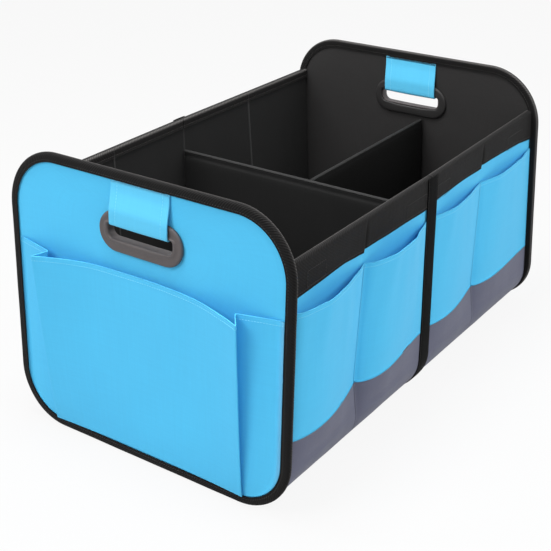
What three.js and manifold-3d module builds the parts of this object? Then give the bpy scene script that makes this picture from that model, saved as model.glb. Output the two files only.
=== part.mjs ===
// Collapsible trunk organizer in cloth over stiff boards. Millimetres, +Z up.
// The origin is under the middle binding, on the floor, at the middle of the organizer.
// The near end is at -X, and the four outside pockets are on the front, at -Y.

import * as THREE from 'three';
import { mergeVertices } from 'three/addons/utils/BufferGeometryUtils.js';
import Module from 'manifold-3d';

// Overall sizes
const length = 600;            // between the feet of the two ends, outside
const width = 383;             // across an end, binding included
const wallHeight = 284;        // top of the long walls
const endRise = 50;            // the ends stand this far above the long walls
const endLean = 20;            // how far the top of each end stands inward of its foot
const topRadius = 70;          // upper corners of an end
const footRadius = 64;         // lower corners of an end
const wallFootRadius = 60;     // bottom corners of the long walls
const wallInset = 6.5;         // long walls stand this far inside the ends' outline

// Cloth, tape and boards
const cloth = 1.2;
const clearance = 0.3;         // between pieces that lie against each other
const endBoard = 2;
const wallBoard = 3;
const bindingWidth = 9.6;      // leg of the end binding, seen from the front
const middleWidth = 22;        // middle binding
const bandHeight = 36;         // outer leg of the black top band
const bandInner = 12;          // its leg inside the wall
const footHeight = 91;         // where the blue cloth meets the grey
const foldSpacing = 150;       // from the middle to the fold of each half wall
const foldGap = 3;             // between the boards at a fold

// Hand holes
const handleDrop = 65.5;       // middle of the slot, below the top of the end
const slotWidth = 87;
const slotHeight = 17;
const slotTopRadius = 3.5;
const slotFootRadius = 8;
const ringWidth = 112;
const ringHeight = 45;
const outerFlange = 4.5;
const innerFlange = 3;
const flangeBevel = 1.4;
const sleeveWall = 2;
const strapWidth = 78;
const strapThickness = 1.5;
const strapRamp = 9;           // height over which the strap climbs onto the ring
const strapBend = 2.4;         // radius of the strap's bends round the ring

// Pocket of the near end
const endPocketDrop = 107;     // hem of the pocket, below the top of the end
const cornerProud = 25;        // how far the pocket's front corners stand off the face
const middleProud = 11;
const foldProud = 13;          // the pleat's inner fold stands this far off the face
const pleatInner = 130;        // from the middle of the end to the pleat's inner fold
const pleatOuter = 139;
const pleatFootInner = 127;
const pleatFootOuter = 134;
const hemDroop = 6;

// Four pockets on the front
const pocketDrop = 52;         // hems of the pockets, below the top of the wall
const pocketBellies = [15, 16, 9, 10];   // how far each one stands out, from the near end
const seamFullness = 0.88;     // share of the belly at the seam between blue and grey
const footBelly = 0.15;        // share of the belly left at the bottom corner

// Dividers and base boards
const dividerDrop = 41;        // tops of the dividers, below the top of the wall
const dividerThickness = 6;
const longDividerOffset = -18; // the long divider stands this far towards the front
const baseBoard = 5;
const baseBoardGap = 2;        // left round the base boards

// How curves are cut into straight stretches
const panelSteps = 6;          // each corner of an end
const slotSteps = 2;           // each corner of a hand hole
const ringSteps = 3;           // each quarter of a ring's outline
const bendSteps = 3;           // each bend of a strap or a band
const pleatSteps = 5;          // each fold of the pleat
const cornerSteps = 10;        // each bottom corner, the same in every layer of the walls
const endPocketRows = 9;
const endPocketColumns = 10;   // from the pleat to the middle
const pocketRows = 6;
const pocketColumns = 12;
const footRows = 2;            // above the bottom corner, where a pocket's foot is straight

// Forms of the pockets' curves
const pleatOpening = 0.8;      // below 1, the pleat opens soon above the pocket's foot
const frontHollow = 2.5;       // the higher, the flatter the middle between the pocket's corners
const bellyFullness = 0.8;     // below 1, a front pocket stands out soon beside its seams

const wasm = await Module();
wasm.setup();

const endHeight = wallHeight + endRise;
const handleHeight = endHeight - handleDrop;
const endPocketHem = endHeight - endPocketDrop;
const pocketHem = wallHeight - pocketDrop;
const dividerHeight = wallHeight - dividerDrop;
const layer = cloth + clearance;
const bindingDepth = 4 * layer + endBoard;      // both legs of the binding, two cloths and the board
const endInside = length / 2 - bindingDepth;   // inner face of an end's binding
const leanRate = endLean / (length / 2) / endHeight;

const colours = { blue: 0x5bc8fa, strap: 0x6ed0f8, grey: 0x676878, black: 0x1c1b1a, liner: 0x222222,
  plastic: 0x5f5858, board: 0x8a6b48 };
const organizer = new THREE.Group();

// Turns a closed geometry into a solid that can be cut and joined.
function solidOf(geometry) {
  const plain = geometry.index ? geometry.toNonIndexed() : geometry.clone();
  plain.deleteAttribute('normal');
  plain.deleteAttribute('uv');
  const merged = mergeVertices(plain, 1e-4);
  return new wasm.Manifold(new wasm.Mesh({
    numProp: 3,
    vertProperties: new Float32Array(merged.attributes.position.array),
    triVerts: new Uint32Array(merged.index.array),
  }));
}

function geometryOf(solid) {
  const mesh = solid.getMesh();
  const geometry = new THREE.BufferGeometry();
  geometry.setAttribute('position', new THREE.BufferAttribute(new Float32Array(mesh.vertProperties), 3));
  geometry.setIndex(new THREE.BufferAttribute(new Uint32Array(mesh.triVerts), 1));
  return geometry;
}

// The ends stand inward towards the top, and everything between them follows.
function leanIn(geometry) {
  const position = geometry.attributes.position;
  for (let i = 0; i < position.count; i += 1) {
    position.setX(i, position.getX(i) * (1 - leanRate * position.getZ(i)));
  }
  geometry.computeVertexNormals();
  return geometry;
}

function addPiece(name, geometry, colour, roughness = 0.9) {
  const material = new THREE.MeshStandardMaterial({ color: colour, roughness, metalness: 0 });
  const piece = new THREE.Mesh(leanIn(geometry), material);
  piece.name = name;
  organizer.add(piece);
}

// Extrusions of an outline seen along X (y, z) or along Y (x, z)
function alongX(shape, start, depth, settings = {}) {
  const geometry = new THREE.ExtrudeGeometry(shape, {
    depth, bevelEnabled: false, curveSegments: panelSteps, ...settings,
  });
  const axes = new THREE.Matrix4().makeBasis(
    new THREE.Vector3(0, 1, 0), new THREE.Vector3(0, 0, 1), new THREE.Vector3(1, 0, 0));
  return geometry.applyMatrix4(axes).translate(start, 0, 0);
}

function alongY(shape, start, depth) {
  const geometry = new THREE.ExtrudeGeometry(shape, { depth, bevelEnabled: false });
  const axes = new THREE.Matrix4().makeBasis(
    new THREE.Vector3(1, 0, 0), new THREE.Vector3(0, 0, 1), new THREE.Vector3(0, -1, 0));
  return geometry.applyMatrix4(axes).translate(0, start + depth, 0);
}

function rectangle(lowX, lowY, highX, highY) {
  const shape = new THREE.Shape();
  shape.moveTo(lowX, lowY);
  shape.lineTo(highX, lowY);
  shape.lineTo(highX, highY);
  shape.lineTo(lowX, highY);
  return shape;
}

// Closed solid between two grids of points with the same rows and columns
function gridSolid(outer, inner) {
  const rows = outer.length;
  const columns = outer[0].length;
  const points = [...outer.flat(), ...inner.flat()];
  const innerStart = rows * columns;
  const faces = [];
  const quad = (a, b, c, d) => faces.push(a, b, c, a, c, d);
  for (let j = 0; j < rows - 1; j += 1) {
    for (let i = 0; i < columns - 1; i += 1) {
      const a = j * columns + i;
      const b = a + 1;
      const c = b + columns;
      const d = a + columns;
      quad(a, b, c, d);
      quad(d + innerStart, c + innerStart, b + innerStart, a + innerStart);
    }
  }
  for (let i = 0; i < columns - 1; i += 1) {
    const last = (rows - 1) * columns + i;
    quad(i + 1, i, i + innerStart, i + 1 + innerStart);
    quad(last, last + 1, last + 1 + innerStart, last + innerStart);
  }
  for (let j = 0; j < rows - 1; j += 1) {
    const first = j * columns;
    const last = first + columns - 1;
    quad(first, first + columns, first + columns + innerStart, first + innerStart);
    quad(last + columns, last, last + innerStart, last + columns + innerStart);
  }
  let volume = 0;
  for (let k = 0; k < faces.length; k += 3) {
    const [a, b, c] = [points[faces[k]], points[faces[k + 1]], points[faces[k + 2]]];
    volume += a.dot(b.clone().cross(c));
  }
  if (volume < 0) faces.reverse();
  const geometry = new THREE.BufferGeometry().setFromPoints(points);
  geometry.setIndex(faces);
  return geometry;
}

// The two sides of a strip of the given thickness along a line of 2D points
function stripSides(line, thickness) {
  const longestMitre = 2;
  const normals = line.map((point, i) => {
    const before = line[Math.max(i - 1, 0)];
    const after = line[Math.min(i + 1, line.length - 1)];
    const arriving = point.clone().sub(before).normalize();
    const leaving = after.clone().sub(point).normalize();
    const along = arriving.clone().add(leaving).normalize();
    const mitre = i > 0 && i < line.length - 1 ? 1 / Math.max(along.dot(leaving), 1 / longestMitre) : 1;
    return new THREE.Vector2(-along.y, along.x).multiplyScalar(mitre);
  });
  const side = (offset) => line.map((point, i) => point.clone().addScaledVector(normals[i], offset));
  return [side(thickness / 2), side(-thickness / 2)];
}

function stripShape(line, thickness) {
  const [left, right] = stripSides(line, thickness);
  return new THREE.Shape([...left, ...right.reverse()]);
}

// A line of 2D points with its corners rounded
function roundedLine(corners, radius) {
  const most = 0.45;                           // of a stretch may go into the bend at its end
  const line = [corners[0]];
  for (let i = 1; i < corners.length - 1; i += 1) {
    const corner = corners[i];
    const back = corners[i - 1].clone().sub(corner);
    const ahead = corners[i + 1].clone().sub(corner);
    const reach = Math.min(radius, back.length() * most, ahead.length() * most);
    const from = corner.clone().addScaledVector(back.normalize(), reach);
    const to = corner.clone().addScaledVector(ahead.normalize(), reach);
    line.push(...new THREE.QuadraticBezierCurve(from, corner, to).getPoints(bendSteps));
  }
  line.push(corners[corners.length - 1]);
  return line;
}

// Ends: rounded panels in a channel of binding tape. They are built facing +X, where
// "out" counts from the binding's inner face, and turned round for the near end.

// Rectangle with round corners, seen along X, from its low edge to its high one
function roundedBox(half, low, high, upper, lower) {
  const shape = new THREE.Shape();
  shape.moveTo(-half + lower, low);
  shape.absarc(half - lower, low + lower, lower, -Math.PI / 2, 0);
  shape.absarc(half - upper, high - upper, upper, 0, Math.PI / 2);
  shape.absarc(-half + upper, high - upper, upper, Math.PI / 2, Math.PI);
  shape.absarc(-half + lower, low + lower, lower, Math.PI, Math.PI * 1.5);
  return shape;
}

function endOutline(inset) {
  return roundedBox(width / 2 - inset, inset, endHeight - inset, topRadius - inset, footRadius - inset);
}

// The same outline with fewer points in its corners, for the small ones of the hand hole
function coarse(shape, divisions) {
  return new THREE.Shape(shape.getPoints(divisions));
}

// The slot's outline, made larger all round by "grow"
function slotOutline(grow) {
  const high = slotHeight / 2 + grow;
  return coarse(roundedBox(slotWidth / 2 + grow, handleHeight - high, handleHeight + high,
    slotTopRadius + grow, slotFootRadius + grow), slotSteps);
}

function ringOutline(outline, slotGrow) {
  outline.holes.push(slotOutline(slotGrow));
  return outline;
}

// Where each layer of an end starts, out from the binding's inner face
const linerOut = layer;
const boardOut = linerOut + layer;
const faceOut = boardOut + endBoard + clearance;
const faceSurface = faceOut + cloth;
const outerRingTop = faceSurface + clearance + outerFlange;
const innerRingTop = linerOut - clearance - innerFlange;

function endPanel(out, thickness) {
  const shape = endOutline(cloth + clearance);
  shape.holes.push(slotOutline(sleeveWall + clearance));
  return alongX(shape, endInside + out, thickness);
}

function endBinding() {
  const frame = endOutline(0);
  frame.holes.push(endOutline(bindingWidth));
  const groove = alongX(endOutline(cloth), endInside + cloth, bindingDepth - 2 * cloth);
  return geometryOf(solidOf(alongX(frame, endInside, bindingDepth)).subtract(solidOf(groove)));
}

function flange(out, thickness, slotGrow) {
  const half = ringHeight / 2;
  const outline = coarse(
    roundedBox(ringWidth / 2, handleHeight - half, handleHeight + half, half, half), ringSteps);
  return alongX(ringOutline(outline, slotGrow), endInside + out + flangeBevel, thickness - 2 * flangeBevel, {
    bevelEnabled: true, bevelThickness: flangeBevel, bevelSize: flangeBevel, bevelOffset: -flangeBevel,
    bevelSegments: 2,
  });
}

// The outer ring has a sleeve that reaches through the panel, and the inner ring snaps round it.
function outerRing() {
  const sleeve = alongX(ringOutline(slotOutline(sleeveWall), 0),
    endInside + innerRingTop + flangeBevel, outerRingTop - innerRingTop - 2 * flangeBevel);
  const seat = flange(faceSurface + clearance, outerFlange, 0);
  return geometryOf(solidOf(seat).add(solidOf(sleeve)));
}

function innerRing() {
  return flange(innerRingTop, innerFlange, sleeveWall + clearance);
}

// The strap runs down from the binding, over the ring, through the slot and up again inside.
function handleStrap() {
  const half = strapThickness / 2;
  const start = endHeight - bindingWidth - clearance;
  const ringTop = handleHeight + ringHeight / 2 + strapBend;
  const low = handleHeight + slotHeight / 2 - clearance - half;
  const overRing = outerRingTop + clearance + half;
  const underRing = innerRingTop - clearance - half;
  const onFace = faceSurface + clearance + half;
  const onLiner = linerOut - clearance - half;
  const point = (out, z) => new THREE.Vector2(endInside + out, z);
  const line = roundedLine([
    point(onFace, start), point(onFace, ringTop + strapRamp), point(overRing, ringTop),
    point(overRing, low), point(underRing, low),
    point(underRing, ringTop), point(onLiner, ringTop + strapRamp), point(onLiner, start),
  ], strapBend);
  return alongY(stripShape(line, strapThickness), -strapWidth / 2, strapWidth);
}

// Pleated pocket: at each height the cloth runs from the binding inward along the face to
// the pleat's inner fold, back out to its outer fold, and across the front to the middle.
const pocketInset = bindingWidth + clearance;
const pocketFoot = pocketInset + cloth;

function insideHalfWidth(z) {
  const radius = footRadius - pocketInset;
  const below = footRadius - z;
  const cut = below > 0 ? radius - Math.sqrt(radius * radius - below * below) : 0;
  return width / 2 - pocketInset - cut;
}

function foldArc(centre, radius, arriving, leaving, turn) {
  const start = arriving - turn * Math.PI / 2;
  let sweep = leaving - arriving;
  while (sweep * turn < 0) sweep += turn * Math.PI * 2;
  return Array.from({ length: pleatSteps + 1 }, (unused, i) => {
    const angle = start + sweep * i / pleatSteps;
    return new THREE.Vector2(centre.x + radius * Math.cos(angle), centre.y + radius * Math.sin(angle));
  });
}

function pocketHalfLine(share, z) {
  const radius = layer / 2;
  const rest = faceSurface + clearance + cloth / 2;
  const mix = THREE.MathUtils.lerp;
  const edge = new THREE.Vector2(insideHalfWidth(z), rest);
  const innerOut = rest + radius + foldProud * share;
  const inner = new THREE.Vector2(mix(pleatFootInner, pleatInner, share), innerOut);
  const outerOut = rest + 3 * radius + (cornerProud - 3 * radius - cloth) * share;
  const outer = new THREE.Vector2(mix(pleatFootOuter, pleatOuter, share), outerOut);
  const middleOut = rest + 4 * radius + (middleProud - 4 * radius - cloth) * share;
  const heading = (a, b) => Math.atan2(b.y - a.y, b.x - a.x);
  const line = [edge, ...foldArc(inner, radius, heading(edge, inner), heading(inner, outer), -1)];
  const rise = outerOut + radius - middleOut;
  const frontOut = (across) => middleOut + rise * (across / outer.x) ** frontHollow;
  const firstAcross = outer.x * (1 - 1 / endPocketColumns);
  const first = new THREE.Vector2(firstAcross, frontOut(firstAcross));
  line.push(...foldArc(outer, radius, heading(inner, outer), heading(outer, first), 1));
  for (let i = 1; i <= endPocketColumns; i += 1) {
    const across = outer.x * (1 - i / endPocketColumns);
    line.push(new THREE.Vector2(across, frontOut(across)));
  }
  return line;
}

function endPocket() {
  const rest = faceSurface + clearance;
  const outer = [];
  const inner = [];
  for (let j = 0; j <= endPocketRows; j += 1) {
    const share = 1 - j / endPocketRows;
    const z = pocketFoot + (endPocketHem - pocketFoot) * share;
    const half = pocketHalfLine(share ** pleatOpening, z);
    const mirrored = half.slice(0, -1).reverse().map((p) => new THREE.Vector2(-p.x, p.y));
    const droop = (out) => hemDroop / cornerProud * (out - rest);
    const place = (p) => new THREE.Vector3(endInside + p.y, p.x, z - droop(p.y));
    const [left, right] = stripSides([...half, ...mirrored], cloth);
    outer.push(left.map(place));
    inner.push(right.map(place));
  }
  return gridSolid(outer, inner);
}

function addEnd(side, turned) {
  const add = (name, geometry, colour, roughness) => {
    addPiece(`${side}_${name}`, turned ? geometry.rotateZ(Math.PI) : geometry, colour, roughness);
  };
  add('end_face', endPanel(faceOut, cloth), colours.blue);
  add('end_board', endPanel(boardOut, endBoard), colours.board);
  add('end_liner', endPanel(linerOut, cloth), colours.liner);
  add('end_binding', endBinding(), colours.black);
  add('handle_outer_ring', outerRing(), colours.plastic, 0.5);
  add('handle_inner_ring', innerRing(), colours.black, 0.5);
  add('handle_strap', handleStrap(), colours.strap);
}

// Long walls: layers that run down the front, round the bottom corners and up the back.
// "depth" counts from the outside of the middle binding, and "board" is what lies between
// the outer cloth and the lining in the walls alone.

const pocketDepth = layer;                     // pockets, pocket feet and the band's outer leg
const coverDepth = pocketDepth + layer;
const linerDepth = coverDepth + layer;
const boardSpace = wallBoard + clearance;
const wallEnd = endInside - clearance;
const wallTop = wallHeight - layer;            // top of everything that the band folds over

function wallProfile(depth, board = 0) {
  return { half: width / 2 - wallInset - depth - board, low: depth, radius: wallFootRadius - depth };
}

// The line of a profile, from a height on the front, under the base, to a height on the back
function wrapLine({ half, low, radius }, frontTop, backTop) {
  const line = [new THREE.Vector2(-half, frontTop)];
  for (const side of [-1, 1]) {
    for (let i = 0; i <= cornerSteps; i += 1) {
      const turn = i / cornerSteps;
      const angle = Math.PI / 2 * (side < 0 ? 1 - turn : turn);
      line.push(new THREE.Vector2(
        side * (half - radius + radius * Math.sin(angle)), low + radius * (1 - Math.cos(angle))));
    }
  }
  line.push(new THREE.Vector2(half, backTop));
  return line;
}

function wrapPiece(depth, board, top, from, to) {
  const outer = wrapLine(wallProfile(depth, board), top, top);
  const inner = wrapLine(wallProfile(depth + cloth, board), top, top);
  return alongX(new THREE.Shape([...outer, ...inner.reverse()]), from, to - from);
}

// A wall piece standing upright: side -1 is the front, 1 the back
function wallSlab(side, depth, thickness, from, to, low, high) {
  const outside = width / 2 - wallInset - depth;
  const start = side < 0 ? -outside : outside - thickness;
  return alongY(rectangle(from, low, to, high), start, thickness);
}

function topBand(side, from, to) {
  const outside = width / 2 - wallInset - pocketDepth - cloth / 2;
  const inside = width / 2 - wallInset - linerDepth - boardSpace - layer - cloth / 2;
  const point = (y, z) => new THREE.Vector2(side * y, z);
  const line = roundedLine([
    point(outside, wallHeight - bandHeight), point(outside, wallHeight - cloth / 2),
    point(inside, wallHeight - cloth / 2), point(inside, wallHeight - bandInner),
  ], 2);
  const shape = stripShape(line, cloth);
  return alongX(shape, from, to - from);
}

// The binding round the middle lies outside all the other layers and ends at the top edges.
function middleBinding() {
  const line = wrapLine(wallProfile(cloth / 2), wallHeight, wallHeight);
  return alongX(stripShape(line, cloth), -middleWidth / 2, middleWidth);
}

// Pockets on the front. A pocket is flat at its side seams and stands out between them.
const middleMargin = middleWidth / 2 + 1;      // stays flat under the middle binding
const seamMargin = 2;

function pocketColumnPlaces(from, to) {
  const atMiddle = (x) => Math.abs(x) < clearance;
  const low = from + (atMiddle(from) ? middleMargin : seamMargin);
  const high = to - (atMiddle(to) ? middleMargin : seamMargin);
  const columns = [[from, 0]];
  for (let i = 0; i <= pocketColumns; i += 1) {
    const share = i / pocketColumns;
    columns.push([low + (high - low) * share, Math.sin(Math.PI * share) ** bellyFullness]);
  }
  return [...columns, [to, 0]];
}

// "pointAt" gives a row's place and outward direction seen along X, and its share of the belly.
function frontSheet(from, to, belly, rows, pointAt) {
  const outer = [];
  const inner = [];
  for (let j = 0; j <= rows; j += 1) {
    const [place, normal, share] = pointAt(j / rows);
    const row = (depth) => pocketColumnPlaces(from, to).map(([x, stand]) => {
      const out = belly * share * stand - depth;
      return new THREE.Vector3(x, place.x + normal.x * out, place.y + normal.y * out);
    });
    outer.push(row(0));
    inner.push(row(cloth));
  }
  return gridSolid(outer, inner);
}

function frontPocket(from, to, belly) {
  const y = -wallProfile(pocketDepth).half;
  const low = footHeight + clearance / 2;
  return frontSheet(from, to, belly, pocketRows, (share) => {
    const z = pocketHem + (low - pocketHem) * share;
    return [new THREE.Vector2(y, z), new THREE.Vector2(-1, 0), 1 + (seamFullness - 1) * share];
  });
}

// The grey foot of a pocket goes on down, round the corner, and ends flat under the base.
function pocketFootSheet(from, to, belly) {
  const { half, low, radius } = wallProfile(pocketDepth);
  const top = footHeight - clearance / 2;
  const rows = footRows + cornerSteps;
  return frontSheet(from, to, belly, rows, (share) => {
    const row = Math.round(share * rows);
    const angle = Math.PI / 2 * Math.max(row - footRows, 0) / cornerSteps;
    const lift = Math.max(1 - row / footRows, 0) * (top - low - radius);
    const place = new THREE.Vector2(
      -half + radius * (1 - Math.cos(angle)), lift + low + radius * (1 - Math.sin(angle)));
    const normal = new THREE.Vector2(-Math.cos(angle), -Math.sin(angle));
    const fullness = footBelly + (seamFullness - footBelly) * Math.cos(angle) ** 2;
    return [place, normal, fullness * Math.cos(angle)];
  });
}

// Dividers and loose base boards
const linerInside = wallProfile(linerDepth + cloth, boardSpace);
const baseTop = linerDepth + cloth + clearance + baseBoard;

function crossDivider() {
  const { half, low, radius } = linerInside;
  const profile = { half: half - clearance, low: low + clearance, radius: radius - clearance };
  const line = wrapLine(profile, dividerHeight, dividerHeight);
  return alongX(new THREE.Shape(line), -dividerThickness / 2, dividerThickness);
}

function longDivider() {
  const from = dividerThickness / 2 + clearance;
  const to = endInside - clearance;
  const low = baseTop + clearance;
  const start = longDividerOffset - dividerThickness / 2;
  return alongY(rectangle(from, low, to, dividerHeight), start, dividerThickness);
}

function baseBoardPiece(side) {
  const { half, low, radius } = linerInside;
  const across = half - radius;
  const near = dividerThickness / 2 + baseBoardGap;
  const far = endInside - baseBoardGap;
  const from = side < 0 ? -far : near;
  return alongY(rectangle(from, low + clearance, from + far - near, baseTop), -across, 2 * across);
}

addEnd('near', true);
addPiece('near_end_pocket', endPocket().rotateZ(Math.PI), colours.blue);
addEnd('far', false);

const halves = [['near', -wallEnd, -clearance / 2], ['far', clearance / 2, wallEnd]];
const walls = [['front', -1], ['back', 1]];
for (const [half, from, to] of halves) {
  const baseCloth = wrapPiece(coverDepth, 0, footHeight - clearance / 2, from, to);
  const lining = wrapPiece(linerDepth, boardSpace, wallTop - clearance, from, to);
  addPiece(`${half}_base_cloth`, baseCloth, colours.grey);
  addPiece(`${half}_lining`, lining, colours.liner);
  for (const [wall, side] of walls) {
    const low = footHeight + clearance / 2;
    const cover = wallSlab(side, coverDepth, cloth, from, to, low, wallTop - clearance);
    addPiece(`${wall}_${half}_cloth`, cover, colours.blue);
    addPiece(`${wall}_${half}_band`, topBand(side, from, to), colours.black);
  }
}

// Stiff boards in the walls, one on each side of every fold
const boardSpans = [[-wallEnd, -foldSpacing], [-foldSpacing, 0], [0, foldSpacing], [foldSpacing, wallEnd]];
for (const [wall, side] of walls) {
  boardSpans.forEach(([from, to], i) => {
    const [start, end] = [from + foldGap / 2, to - foldGap / 2];
    const board = wallSlab(side, linerDepth, wallBoard, start, end, wallFootRadius + layer, wallTop - clearance);
    addPiece(`${wall}_board_${i + 1}`, board, colours.board);
  });
}

boardSpans.forEach(([from, to], i) => {
  const [start, end] = [from + clearance / 2, to - clearance / 2];
  const belly = pocketBellies[i];
  addPiece(`front_pocket_${i + 1}`, frontPocket(start, end, belly), colours.blue);
  addPiece(`front_pocket_foot_${i + 1}`, pocketFootSheet(start, end, belly), colours.grey);
});

addPiece('middle_binding', middleBinding(), colours.black);
addPiece('cross_divider', crossDivider(), colours.liner);
addPiece('long_divider', longDivider(), colours.liner);
addPiece('near_base_board', baseBoardPiece(-1), colours.black);
addPiece('far_base_board', baseBoardPiece(1), colours.black);

export default organizer;
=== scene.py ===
import math

import bpy
import numpy as np
from mathutils import Matrix, Vector, noise


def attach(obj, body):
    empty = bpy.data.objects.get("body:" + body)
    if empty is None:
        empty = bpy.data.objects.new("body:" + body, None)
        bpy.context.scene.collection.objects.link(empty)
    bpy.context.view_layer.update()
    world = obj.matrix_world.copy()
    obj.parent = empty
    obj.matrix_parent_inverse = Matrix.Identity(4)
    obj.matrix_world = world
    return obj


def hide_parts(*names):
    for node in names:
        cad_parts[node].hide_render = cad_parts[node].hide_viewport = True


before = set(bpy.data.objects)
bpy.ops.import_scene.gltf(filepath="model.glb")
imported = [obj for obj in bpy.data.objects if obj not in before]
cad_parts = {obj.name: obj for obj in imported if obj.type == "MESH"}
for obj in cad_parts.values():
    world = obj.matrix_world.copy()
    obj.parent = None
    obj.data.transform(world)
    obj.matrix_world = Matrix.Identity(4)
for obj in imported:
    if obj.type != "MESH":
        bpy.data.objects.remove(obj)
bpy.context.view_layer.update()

print("frame loaded:", len(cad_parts), "nodes")

# The organizer's own sizes in millimetres. Meshes are turned into metres when they are made.
organizer = {
    "length": 600, "width": 383, "endHeight": 334, "wallHeight": 284,
    "endLean": 20,            # the top of each end stands this far inward of its foot
    "topRadius": 70, "footRadius": 64,
    "wallFootRadius": 54,     # bottom corners of the long walls
    "wallInset": 6.5,         # long walls stand this far inside the ends' outline
    "layer": 1.5,             # one cloth and the air to the next
    "cloth": 0.8,             # thickness of one cloth
    "gap": 0.3,
    "endBoard": 2, "wallBoard": 3,
    "footHeight": 91,         # where the blue cloth meets the grey
    "folds": (-147.5, 141),   # where the long walls fold, along the organizer
    "dividerHeight": 243, "baseTop": 11,
}
half = organizer["length"] / 2
layer = organizer["layer"]
cloth = organizer["cloth"]
gap = organizer["gap"]
bindingDepth = 4 * layer + organizer["endBoard"]
endInside = half - bindingDepth
leanRate = organizer["endLean"] / half / organizer["endHeight"]
faceOut = 2 * layer + organizer["endBoard"] + gap           # inner side of an end's blue cloth
faceSurface = faceOut + layer - gap                         # its outer side
coverDepth = 2 * layer                                      # layers of the long walls, from outside
liningDepth = 3 * layer
boardSpace = organizer["wallBoard"] + gap


def wallHalf(depth, board=0.0):   # from the middle to a layer of a long wall
    return organizer["width"] / 2 - organizer["wallInset"] - depth - board


# Camera: the photograph's viewpoint, with almost no roll
def makeCamera():
    view = {"place": (-1.0804, -0.7390, 0.7563), "azimuth": -54.42, "elevation": 26.27, "roll": -0.65,
            "lens": 75.44}
    a, e, r = (math.radians(view[k]) for k in ("azimuth", "elevation", "roll"))
    back = Vector((math.sin(a) * math.cos(e), -math.cos(a) * math.cos(e), math.sin(e)))
    right = (-back).cross(Vector((0, 0, 1))).normalized()
    up = right.cross(-back)
    rolledRight = right * math.cos(r) + up * math.sin(r)
    rolledUp = up * math.cos(r) - right * math.sin(r)
    data = bpy.data.cameras.new("photoCamera")
    data.lens = view["lens"]
    data.sensor_width = 36
    camera = bpy.data.objects.new("photoCamera", data)
    bpy.context.scene.collection.objects.link(camera)
    axes = Matrix((rolledRight, rolledUp, back)).transposed().to_4x4()
    camera.matrix_world = Matrix.Translation(view["place"]) @ axes
    bpy.context.scene.camera = camera


makeCamera()
print("camera set")


# Node helpers
def addNode(tree, kind, inputs=None, **settings):
    node = tree.nodes.new(kind)
    for key, value in settings.items():
        setattr(node, key, value)
    for socket, value in (inputs or {}).items():
        if isinstance(value, bpy.types.NodeSocket):
            tree.links.new(value, node.inputs[socket])
        else:
            node.inputs[socket].default_value = value
    return node


def calc(tree, operation, first, second=0.0):
    return addNode(tree, "ShaderNodeMath", {0: first, 1: second}, operation=operation).outputs[0]


def newMaterial(name):
    material = bpy.data.materials.new(name)
    material.use_nodes = True
    material.node_tree.nodes.clear()
    return material, material.node_tree


def finished(material, shader):
    addNode(material.node_tree, "ShaderNodeOutputMaterial", {0: shader.outputs[0]})
    return material


def blended(tree, share, first, second):         # two colours, mixed by a share
    mix = addNode(tree, "ShaderNodeMix", {0: share}, data_type="RGBA")
    mix.inputs[6].default_value = first
    mix.inputs[7].default_value = second
    return mix.outputs[2]


def toLinear(colour):       # 0-255 as seen in the photograph, to what a shader takes
    return [((c / 255 + 0.055) / 1.055) ** 2.4 for c in colour]


def shaded(colour, factor):
    return [min(c * factor, 1) for c in colour] + [1]


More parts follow.
